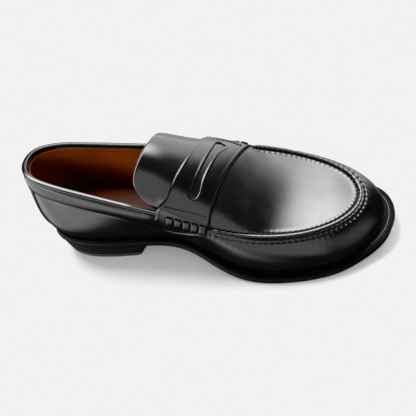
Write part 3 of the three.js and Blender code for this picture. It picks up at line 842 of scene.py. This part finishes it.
def build_apron_seam():
    """The vamp's edge stands up as a ridge round the apron, whipped down by a stitch every few millimetres."""
    s = np.linspace(station_at(143.0, -1), station_at(180.5, 1), 2600)
    centre = rim(s)
    out = wall_normal(s, np.full(s.shape, 0.97))
    ridge_radius, ridge_power, lean = 1.5, 0.7, 8
    tangent, side, up = frames_along(centre, tilted(out, lean)[1])
    inward = -side if np.mean(np.sum(side * out, 1)) > 0 else side
    phase = stitch_phase(s)
    number = np.arange(len(s))
    ends = ease(0, 40, np.minimum(number, number[::-1]))
    pinch = 1 - 0.07 * (0.5 + 0.5 * np.cos(phase)) ** 3
    radius = ridge_radius * pinch * (0.45 + 0.55 * ends)
    path = centre + up * 0.35 - inward * 0.15
    angle = np.linspace(0, 2 * math.pi, 25)[:-1]
    across = squarish(np.cos(angle), ridge_power)[None, :, None]
    upward = squarish(np.sin(angle), ridge_power)[None, :, None]
    ring = upward * up[:, None] - across * inward[:, None]
    make_object("apron_ridge", *loft(path[:, None] + ring * radius[:, None, None]), CALF, sharp=0)
    parts = []
    turns = phase / (2 * math.pi)
    t = np.linspace(0, 1, 12)[:, None]
    for mark in np.interp(np.arange(math.ceil(turns[0]) + 1, math.floor(turns[-1])), turns, number):
        i = int(round(mark))
        directions = np.array([inward[i], up[i], tangent[i]])
        leaning = np.tile(up[i] + inward[i] * 0.5, (len(t), 1))
        parts.append(tube_mesh(bezier(*(centre[i] + SEAM_STITCH @ directions), t), leaning, 0.36, 7))
    make_object("apron_seam_thread", *join_meshes(parts), THREAD, sharp=0)
    # second row, parallel to the seam, in the vamp's gathers
    s = np.linspace(station_at(147.0, -1), station_at(184.0, 1), 2600)
    t = np.interp(s, s[::20], share_below(s[::20], SECOND_ROW))
    n = wall_normal(s, t)
    stitch_row("vamp_gather_stitch", wall(s, t) - n * 0.28, n, ROW_SPACING, length=3.1, radius=0.3)


# ------------------------------------------------------------------ strap
FLAP_ROWS = 40
STRAP_COLUMNS = 60
# stations along the lower end of each flap, and how far below the rim it reaches there
FLAP_STATION = {
    "outer": np.array([4.85, 4.9, 4.96, 5.1, 5.27, 5.5, 5.82, 6.1, 6.32, 6.58, 6.66]),
    "inner": np.array([18.94, 19.02, 19.28, 19.5, 19.8, 20.1, 20.33, 20.5, 20.58, 20.62, 20.68]),
}
# from the back forwards
FLAP_LENGTH = np.array([13.5, 16.5, 18.6, 20.0, 19.8, 17.8, 14.2, 11.0, 8.7, 6.2, 5.4])
STRAP_ANGLES = np.radians(np.linspace(-90, 90, 261))
# the coin slot's two sides: (place across as v, share from the strap's back)
SLOT_BACK = np.array([
    (-0.76, 0.50), (-0.75, 0.44), (-0.72, 0.42), (-0.62, 0.445), (-0.48, 0.465), (-0.3, 0.465), (-0.10, 0.45),
    (0.1, 0.44), (0.28, 0.425), (0.45, 0.405), (0.6, 0.38), (0.68, 0.37), (0.715, 0.40), (0.725, 0.46),
])
SLOT_FRONT = np.array([
    (-0.76, 0.51), (-0.75, 0.57), (-0.70, 0.615), (-0.62, 0.628), (-0.52, 0.61), (-0.40, 0.58), (-0.3, 0.562),
    (-0.15, 0.55), (0.1, 0.537), (0.28, 0.528), (0.42, 0.535), (0.55, 0.585), (0.64, 0.60), (0.70, 0.56),
    (0.725, 0.47),
])


def strap_grid(shares_of_row):
    """Base points of the strap and its flaps. shares_of_row(v) gives each row's shares across the strap."""
    flaps = []
    for name, sign in SIDES:
        stations, lengths = FLAP_STATION[name], FLAP_LENGTH[::-sign]
        shares = shares_of_row(sign * 2.0)
        end = sign * math.pi / 2
        s_at_rim = station_at(mix(strap_back(end), strap_front(end), shares), sign)
        ends = (stations[0], stations[-2]) if sign < 0 else (stations[-1], stations[1])
        s_low = np.interp(shares, [0, 1], ends)
        rows = []
        for value in np.linspace(1, 0, FLAP_ROWS + 1)[:-1]:
            s = mix(s_at_rim, s_low, ease(0, 0.35, value))
            rows.append(wall(s, share_below(s, value * np.interp(s, stations, lengths))))
        flaps.append(rows)
    middle = [instep(mix(strap_back(a), strap_front(a), shares_of_row(math.sin(a))), a) for a in STRAP_ANGLES]
    grid = np.array(flaps[0] + middle + flaps[1][::-1])
    # the bends over the rim are softened
    where = np.arange(len(grid))
    near = np.maximum(bell(where, FLAP_ROWS, 9.0), bell(where, len(grid) - 1 - FLAP_ROWS, 9.0))[:, None, None]
    return mix(grid, gauss(grid, 5.0), near)


def slot_at(v):
    """Whether the slot is open at v, and the shares across the strap where it starts and ends."""
    low = float(np.interp(v, *SLOT_BACK.T))
    return SLOT_BACK[0, 0] < v < SLOT_BACK[-1, 0], low, max(float(np.interp(v, *SLOT_FRONT.T)), low)


def distance_to(points, targets):
    """Distance from each point to the nearest of the targets."""
    flat = points.reshape(-1, 3)
    blocks = [np.min(np.linalg.norm(flat[k:k + 4000, None] - targets[None], axis=-1), 1)
              for k in range(0, len(flat), 4000)]
    return np.concatenate(blocks).reshape(points.shape[:-1])


def build_strap():
    columns = np.linspace(0, 1, 30)
    spread = 0.6 * columns + 0.4 * (0.5 - 0.5 * np.cos(math.pi * columns))

    def shares(v):
        _, low, high = slot_at(v) if abs(v) <= 1 else (False, 0.5, 0.5)
        return np.concatenate([low * spread, high + (1 - high) * spread])

    grid = strap_grid(shares)
    n, m = grid.shape[:2]
    half = m // 2
    plain = -normals_of(np.delete(grid, half, axis=1))
    normal = plain[:, np.r_[0:half, half - 1:m - 1]]
    back, front = grid[:, half - 1], grid[:, half]
    v_of_row = np.concatenate([np.full(FLAP_ROWS, 2.0), np.sin(STRAP_ANGLES), np.full(FLAP_ROWS, 2.0)])
    open_rows = np.array([slot_at(v)[0] for v in v_of_row]) & (np.linalg.norm(front - back, axis=-1) > 0.15)
    d_outer = edge_distance(grid, ("i0", "i1", "j0", "j1"))
    d_slot = distance_to(grid, np.concatenate([back[open_rows], front[open_rows]]))
    low, thick = 0.1, 1.15
    shape = 0.30 + 0.70 * np.minimum(rounded(d_outer, 1.5), rounded(d_slot + 0.02, 1.2))
    # a raised line round the slot and along the edges, fuller on the flaps
    from_flap = FLAP_ROWS - np.minimum(np.arange(n), np.arange(n)[::-1])
    relief = (0.12 + 0.5 * ease(2, 8, from_flap)[:, None]) * bell(d_outer, 1.5, 0.85)
    relief += 0.22 * bell(d_slot, 1.5, 0.8) + undulate(grid, 0.07, 24, 14)
    points = stacked(grid + normal * (low + (thick + relief) * shape)[..., None], grid + normal * low)
    size = n * m
    index = np.arange(size).reshape(n, m)
    upper = quads(n, m).reshape(n - 1, m - 1, 4)
    upper = np.delete(upper, half - 1, axis=1).reshape(-1, 4)
    faces = [upper, np.roll(upper[:, ::-1], 1, axis=1) + size]
    # between the two halves: the slot's walls where it is open, and leather elsewhere
    cut = open_rows[:-1] | open_rows[1:]
    a0, a1, b0, b1 = index[:-1, half - 1], index[1:, half - 1], index[:-1, half], index[1:, half]
    faces += [strip(a0, a1, size)[cut], strip(b1, b0, size)[cut]]
    faces += [np.stack([a0, a1, b1, b0], -1)[~cut], (np.stack([a1, a0, b0, b1], -1) + size)[~cut]]
    faces = np.concatenate(faces + side_walls(index, skipped=[half - 1]))[:, ::-1].tolist()
    strap = make_object("penny_strap", points, faces, CALF, sharp=0,
                        replaced=("penny_strap", "strap_flap_outer", "strap_flap_inner"))
    weld(strap, 0.00003)
    strap.data.set_sharp_from_angle(angle=math.radians(52))
    # the front edge, over the whole width and just into the flaps: a matte black cord, partly the strap's dark
    # edge and partly painted shade in the gap under it
    uniform = strap_grid(lambda v: np.linspace(0, 1, STRAP_COLUMNS + 1))
    normal = -normals_of(uniform)
    span = slice(FLAP_ROWS - 2, n - FLAP_ROWS + 2)
    forward = unit(uniform[span, -1] - uniform[span, -2])
    line = uniform[span, -1] + normal[span, -1] * 0.45 + forward * 0.3
    cord = tube_mesh(gauss(line, 2), normal[span, -1], 1.05, 10)
    make_object("strap_edge", *cord, WELT, slot="calf", sharp=0)
    return uniform, normal


def sample_grid(grid, i, j):
    """Bilinear sample at fractional rows i and columns j."""
    i = np.clip(i, 0, grid.shape[0] - 1.001)
    j = np.clip(j, 0, grid.shape[1] - 1.001)
    i0, j0 = np.floor(i).astype(int), np.floor(j).astype(int)
    a, b = (i - i0)[..., None], (j - j0)[..., None]
    return mix(mix(grid[i0, j0], grid[i0 + 1, j0], a), mix(grid[i0, j0 + 1], grid[i0 + 1, j0 + 1], a), b)


def build_strap_ends(grid, normal):
    """On each flap the leather is gathered into five rolls, held by whip stitches."""
    rows = len(grid)
    rolls = 5
    w = np.linspace(0.185, 0.975, 161)  # shares across the strap
    u, f = np.linspace(0, 1, len(w)), np.linspace(0, 1, 33)
    groove = np.abs((u * rolls + 0.5) % 1 - 0.5) / rolls * 24.0  # mm from the nearest groove, about
    bulge = 1 - np.exp(-(groove / 0.5) ** 1.6)
    height = 1.2 + 1.15 * bulge[:, None] * np.clip(np.sin(math.pi * f), 0, 1) ** 0.22
    height = np.minimum(height, 1.2 + 38 * np.minimum(u, 1 - u)[:, None])
    for name, sign in SIDES:
        rim_row = FLAP_ROWS if sign < 0 else rows - 1 - FLAP_ROWS

        def row_of(above, share):
            """The row that lies some mm above the rim, at a share of the strap's width."""
            path = sample_grid(grid, np.arange(rows, dtype=float), np.full(rows, share * STRAP_COLUMNS))
            mm = path_length(path)
            mm = (mm[rim_row] - mm) * sign
            order = np.argsort(mm)
            return np.interp(above, mm[order], np.arange(rows)[order])

        def on_strap(row, share):
            """Points and normals at rows and shares of the strap's width."""
            column = share * STRAP_COLUMNS
            return sample_grid(grid, row, column), sample_grid(normal, row, column)

        low, top = mix(-10.6, -5.0, u), mix(1.6, 2.6, u)  # the rolls' ends, mm above the rim
        i = np.array([row_of(mix(low[k], top[k], f), share) for k, share in enumerate(w)])
        base, n = on_strap(i, np.repeat(w[:, None], len(f), 1))
        n = unit(n)
        faces = closed_faces(len(w), len(f))[:, ::-sign]
        points = stacked(base + n * height[..., None], base + n)
        make_object(f"strap_roll_{name}", points, faces.tolist(), CALF, sharp=60)
        parts = []
        last_column = len(w) - 1
        lift = 1.45 + 0.2 * np.sin(np.linspace(0, math.pi, len(f) - 2))[:, None]
        for k in range(rolls + 1):
            pick = min(max(round(k / rolls * last_column), 1), last_column - 1)
            out = n[pick, 1:-1]
            parts.append(tube_mesh(base[pick, 1:-1] + out * lift, out, 0.25, 7))
        for end, offset, radius in ((-1, 2.05, 0.42), (0, 1.95, 0.3)):
            path = base[:, end] + n[:, end] * offset
            for k in range(rolls):
                span = slice(int((k + 0.12) / rolls * last_column), int((k + 0.88) / rolls * last_column) + 1)
                parts.append(tube_mesh(path[span], n[span, end], radius, 7))
        make_object(f"roll_thread_{name}", *join_meshes(parts), THREAD, sharp=0)
        # a row of stitches across the strap above the rolls, and one just inside the flap's rounded edge
        across, edge = np.linspace(0.06, 0.94, 200), np.linspace(0.05, 0.97, 160)
        above = np.array([row_of(10.4 - 0.4 * share, share) for share in across])
        low_row = np.full(len(edge), 2.2 if sign < 0 else rows - 3.2)
        for kind, row, share, offset, length, radius in (
            ("strap", above, across, 1.5, 2.0, 0.42),
            ("flap", low_row, edge, 1.9, 1.9, 0.2),
        ):
            line, out = on_strap(row, share)
            stitch_row(f"{kind}_stitch_{name}", line + out * offset, out, 2.5, length, radius)


# ------------------------------------------------------------------ tongue
def tongue_grid(rear_extra=0.0):
    # q runs from edge to edge, and the flanks beyond -1 and 1 hang down inside the quarters
    q = np.concatenate([
        np.linspace(-1.16, -1.0, 12)[:-1], np.linspace(-1.0, 1.0, 161), np.linspace(1.0, 1.16, 12)[1:]])
    angle = np.clip(q, -1, 1) * math.pi / 2
    extra = np.maximum(np.abs(q) - 1, 0) / 0.16 * 11.0
    f = np.linspace(0, 1, 70) ** 1.1
    front = mix(strap_back(angle), strap_front(angle), 0.22)
    x = mix((tongue_back(angle) - rear_extra)[:, None], front[:, None], f[None])
    grid = instep(x, np.repeat(angle[:, None], len(f), 1), tuck=3.5 - 2.3 * ease(103, 114, x))
    grid[..., 2] -= extra[:, None]
    grid[..., 1] -= 0.35 * extra[:, None] * np.sign(q)[:, None]
    return gauss(grid, 2.5)


def build_tongue():
    shared = {"edges": ("j0",), "flip": True, "body": None, "sharp": 55}
    grid = tongue_grid()
    relief = undulate(grid, 0.12, 30, 17)
    tongue = shell("tongue", grid, -1.45, 0.0, CALF, radius=0.9, relief=relief, **shared)
    grid = tongue_grid(rear_extra=0.45)
    lining = shell("tongue_lining", grid, -2.55, -1.5, LINING_EDGE, radius=0.6, **shared)
    hinge = frame["joints"][0]
    axis = Vector(hinge["axis"]).normalized()
    rearward = axis.cross(Vector((0, 0, 1)))
    if rearward.x > 0:
        rearward = -rearward
    for piece in (tongue, lining):
        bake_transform(piece)


# ------------------------------------------------------------------ bottom
def spine_of(s):
    """Middle line points that a ring's inner edge is drawn to, so that rings close without crossing."""
    x = np.clip(last(s)[..., 0], 44, 262)
    return np.stack([x, np.interp(x, [44, 90, 130, 180, 230, 262], [-2, -3, -5, -3.5, 1.5, 6])], -1)


def over_underside(p, height):
    """Plan points raised to a height above the sole's curved underside."""
    return np.concatenate([p, (underside(p[..., 0]) + height)[..., None]], -1)


def ring_points(s, reach, height):
    return over_underside(plan(s, reach), height)


def sheet_piece(name, reach, low, high, material, edge):
    """A closed sheet that follows the underside's curve, its edge rounded."""
    outline, inner = plan(AROUND, reach), spine_of(AROUND)
    shares = (1.0, 0.75, 0.5, 0.25, 0.1)  # from the middle line outwards
    rounding = ((0.7, 0.0), (0.2, 0.08), (0.0, 0.3), (0.0, 0.7), (0.2, 0.92), (0.7, 1.0))
    rows = [over_underside(mix(outline, inner, share), low) for share in shares]
    rows += [ring_points(AROUND, reach - edge * k, mix(low, high, h)) for k, h in rounding]
    rows += [over_underside(mix(outline, inner, share), high) for share in shares[::-1]]
    faces = quads(len(AROUND), len(rows), wrap=True).tolist()
    obj = make_object(name, np.stack(rows, 1).reshape(-1, 3), faces, material, sharp=0)
    weld(obj, 0.00002)
    obj.data.set_sharp_from_angle(angle=math.radians(50))


def build_bottom():
    inset = 5.0
    seat = OUTSOLE + 0.6 + 2.7 + 2.5
    sheet_piece("outsole", welt_reach(AROUND), 0.0, OUTSOLE, SOLE, edge=1.1)
    sheet_piece("insole", -inset, WELT_TOP + 0.3, seat, BOARD, edge=0.5)
    sheet_piece("sock_liner", 0.3 - inset, seat + 0.2, seat + 1.5, LINING, edge=0.5)
    # sections of the welt: how far out from its edge, and the share of its thickness
    outer_edge = [(0.0, 0.35), (0.0, 0.8), (-0.15, 0.93), (-0.55, 1.0), (-1.1, 1.0)]
    groove = [(-1.5, 0.9), (-1.75, 0.83), (-2.1, 0.83), (-2.4, 0.92)]  # the stitches lie in it
    inner_edge = [(-2.9, 1.0), (-4.5, 1.0), (-12.0, 1.0), (-12.0, 0.0), (-0.5, 0.0), (-0.12, 0.1)]
    flat = [(out, 1.0) for out, _ in groove]
    for name, low, high, middle in (("welt", 4.6, 22.4, groove), ("heel_rand", 22.45 - STATIONS, 4.55, flat)):
        s = dense(low, high, 0.04)
        rings = [ring_points(s, welt_reach(s) + out, mix(WELT_LOW, WELT_TOP, share))
                 for out, share in outer_edge + middle + inner_edge]
        make_object(name, *turned_over(*loft(np.stack(rings, 1))), WELT, sharp=50)
    s = np.linspace(7.0, 20.1, 2200)
    path = ring_points(s, welt_reach(s) - 1.92, WELT_TOP - 0.2)
    stitch_row("welt_stitch", path, np.tile(SKY, (len(s), 1)), spacing=3.4, length=2.5, radius=0.32)
    # a creased line inside the stitches
    s = np.linspace(11.6, 18.5, 320)
    sunk = 1 - ease(11.6, 12.6, s) * ease(18.5, 16.5, s)
    path = ring_points(s, welt_reach(s) - 5.0, WELT_TOP + 0.05 - 0.7 * sunk)
    make_object("welt_crease", *tube_mesh(path, np.tile(SKY, (len(s), 1)), 0.45), CALF, slot="sole", sharp=0)


def heel_outline():
    """Closed outline of the heel in plan where it meets the sole, its front hollowed."""
    p = plan(np.mod(np.linspace(-3.95, 3.95, 200), STATIONS), 1.0)
    front = 94.0
    p[:, 0] = np.minimum(p[:, 0], front)
    y = np.linspace(p[-1, 1], p[0, 1], 60)[1:-1]
    half = (abs(p[-1, 1]) + abs(p[0, 1])) / 2
    breast = np.stack([front - 2.6 * (1 - (y / half) ** 2), y], -1)
    closed = np.concatenate([p, breast, p[:1]])
    steps = path_length(closed)
    even = np.linspace(0, steps[-1], 301)[:-1]
    return gauss(np.stack([np.interp(even, steps, closed[:, k]) for k in (0, 1)], -1), 3.2, periodic=True)


def build_heel():
    outline = heel_outline()
    centre = np.array([55.0, 0.0])
    total, taper = 22.0, 0.20  # height over which the heel narrows downwards, and by what share
    # sections of a lift: share of its height, and how far it stands in from the outline
    lower_half = [(0.0, 3.0), (0.0, 0.5), (0.12, 0.12), (0.4, 0.0)]
    section = lower_half + [(0.5, -0.04)] + [(1 - share, inset) for share, inset in lower_half[::-1]]
    for name, low, high, material in (
        ("top_piece", 0.0, 4.9, RUBBER),
        ("heel_lift_lower", 5.05, 10.5, HEEL),
        ("heel_lift_middle", 10.65, 16.1, HEEL),
        ("heel_lift_upper", 16.25, underside(outline[:, 0]) - 0.12, HEEL),
    ):
        loops = []
        for share, inset in section:
            z = mix(low, high, share) * np.ones(len(outline))
            ring = centre + (outline - centre) * (1 - taper * (1 - np.minimum(z / total, 1)))[:, None]
            ring += unit(centre - ring) * inset
            loops.append(np.concatenate([ring, z[:, None]], 1))
        make_object(name, *turned_over(*loft(np.stack(loops))), material, sharp=50)


# ------------------------------------------------------------------ build
build_wall()
build_linings()
build_backstay()
build_collar()
build_apron()
build_strap_ends(*build_strap())
build_tongue()
build_bottom()
build_heel()

# the parts that stay as they come
PLAIN_PARTS = {"shank": STEEL, "cork_filler": CORK}
for number in range(1, 6):
    PLAIN_PARTS[f"heel_nail_{number}"] = STEEL
    PLAIN_PARTS[f"top_piece_nail_{number}"] = BRASS
for cad_name, material in PLAIN_PARTS.items():
    mesh = frame["nodes"][cad_name].data
    mesh.materials.clear()
    mesh.materials.append(material)


# ------------------------------------------------------------------ floor, light, camera
def build_floor():
    mesh = bpy.data.meshes.new("floor")
    size = 6.0
    corners = [(-size, -size, 0), (size, -size, 0), (size, size, 0), (-size, size, 0)]
    mesh.from_pydata(corners, [], [(0, 1, 2, 3)])
    mat, tree, bsdf = new_material("floor", grey(0.86), 0.6, Specular_IOR_Level=0.2)
    varied(tree, bsdf.inputs["Base Color"], noise_height(tree, 3, 3), grey(0.855), grey(0.865))
    # far out the floor fades into the backdrop, so that no horizon shows
    reach = node(tree, "ShaderNodeVectorMath", operation="LENGTH")
    tree.links.new(object_coords(tree), reach.inputs[0])
    tree.links.new(smooth_range(tree, reach.outputs["Value"], 0.7, 1.5, 1.0, 0.0), bsdf.inputs["Alpha"])
    mesh.materials.append(mat)
    floor = linked("floor", mesh)
    floor.location.z = -0.0002
    floor.visible_glossy = False


def bearing(azimuth, elevation):
    """Direction for angles in degrees; azimuth 0 is towards -Y (the camera's side) and 90 towards +X."""
    a, e = math.radians(azimuth), math.radians(elevation)
    return (math.sin(a) * math.cos(e), -math.cos(a) * math.cos(e), math.sin(e))


def area_light(name, azimuth, elevation, distance, size, power):
    """A soft box turned to the floor's middle. It isn't reflected: the leather mirrors the panels below."""
    data = bpy.data.lights.new(name, "AREA")
    data.shape = "RECTANGLE"
    data.size, data.size_y = size
    data.energy = power
    obj = linked(name, data)
    direction = Vector(bearing(azimuth, elevation))
    obj.location = direction * distance
    obj.rotation_euler = direction.to_track_quat("Z", "Y").to_euler()
    obj.visible_glossy = False


# azimuth, elevation, distance (m), width and height (m), power (W)
LIGHTS = [
    ("overhead", 0, 90, 2.5, (6.0, 6.0), 76),
    ("left", -112, 62, 3.5, (1.0, 1.0), 75),
    ("front", -12, 26, 3.0, (1.2, 0.8), 56),
]
# Soft boxes round the studio, far off: middle azimuth, elevation, half width, half height, softness (degrees),
# brightness.
PANELS = [
    ("key", 164, 25, 28, 23, 10, 3.5),
    ("top", 194, 64, 34, 12, 10, 20.0),
    ("front fill", 0, 18, 42, 32, 6, 1.35),
    ("side fill", 68, 6, 22, 14, 10, 0.7),
    ("front low", -10, -26, 18, 12, 8, 0.9),
    ("left low", -60, -10, 26, 12, 10, 7.5),
    ("left floor", -70, -38, 50, 13, 8, 2.2),
    ("back floor", 180, -14, 40, 14, 10, 1.0),
]
STUDIO_DIM = 0.03
BACKDROP = 0.87  # brightness that the camera sees beyond the floor


def build_world():
    world = bpy.data.worlds.new("studio")
    bpy.context.scene.world = world
    world.use_nodes = True
    world.cycles_visibility.diffuse = False
    tree = world.node_tree
    background = tree.nodes["Background"]
    coords = node(tree, "ShaderNodeTexCoord")
    total = None

    def math_node(kind, first, second=None):
        made = node(tree, "ShaderNodeMath", operation=kind)
        for socket, value in zip(made.inputs, (first, second)):
            if value is None:
                continue
            if isinstance(value, (int, float)):
                socket.default_value = value
            else:
                tree.links.new(value, socket)
        return made.outputs[0]

    def dot(vector):
        made = node(tree, "ShaderNodeVectorMath", operation="DOT_PRODUCT")
        tree.links.new(coords.outputs["Generated"], made.inputs[0])
        made.inputs[1].default_value = vector
        return made.outputs["Value"]

    def window(angle, half, soft):
        start, end = math.radians(half - soft), math.radians(half + soft)
        return smooth_range(tree, math_node("ABSOLUTE", angle), start, end, 1.0, 0.0)

    for _, azimuth, elevation, half_width, half_height, soft, brightness in PANELS:
        centre = Vector(bearing(azimuth, elevation))
        right = Vector(bearing(azimuth + 90, 0))
        up = right.cross(centre)
        if up.z < 0:
            up = -up
        across = math_node("ARCTAN2", dot(right), dot(centre))
        along = math_node("ARCSINE", dot(up))
        lobe = math_node("MULTIPLY", window(across, half_width, soft), window(along, half_height, soft))
        lobe = math_node("MULTIPLY", lobe, brightness)
        total = lobe if total is None else math_node("ADD", total, lobe)
    total = math_node("ADD", total, STUDIO_DIM)
    seen = node(tree, "ShaderNodeLightPath").outputs["Is Camera Ray"]
    keep = math_node("SUBTRACT", 1.0, seen)
    strength = math_node("ADD", math_node("MULTIPLY", total, keep), math_node("MULTIPLY", seen, BACKDROP))
    tree.links.new(strength, background.inputs["Strength"])
    background.inputs["Color"].default_value = (1, 1, 1, 1)


TONE_POINTS = ((0.008, 0.002), (0.03, 0.024), (0.07, 0.068), (0.8, 0.80), (0.92, 0.88))
WHITE_POINT = 0.885


def build_light():
    build_world()
    for light in LIGHTS:
        area_light(*light)
    view = bpy.context.scene.view_settings
    view.view_transform = "Standard"
    view.look = "None"
    # deeper blacks, and a floor that stays just short of white
    view.use_curve_mapping = True
    curve = view.curve_mapping
    curve.extend = "HORIZONTAL"
    tone = curve.curves[3]
    tone.points[0].location = (0.0, 0.0)
    tone.points[1].location = (1.0, WHITE_POINT)
    for shown in TONE_POINTS:
        tone.points.new(*shown)
    for point in tone.points:
        point.handle_type = "VECTOR"
    curve.update()


CAMERA_PLACE = (132.62, -310.41, 375.68)  # mm in the pattern frame
CAMERA_AZIMUTH, CAMERA_ELEVATION = -0.0307, 0.839  # radians
LENS, SENSOR = 48.48, 36


def build_camera():
    data = bpy.data.cameras.new("camera")
    data.sensor_width = SENSOR
    data.lens = LENS
    data.clip_start = 0.01
    cam = linked("camera", data)
    cam.location = Vector(place(CAMERA_PLACE))
    back = Vector(bearing(math.degrees(CAMERA_AZIMUTH), math.degrees(CAMERA_ELEVATION)))
    cam.rotation_mode = "QUATERNION"
    cam.rotation_quaternion = back.to_track_quat("Z", "Y")
    bpy.context.scene.camera = cam


build_floor()
build_light()
build_camera()
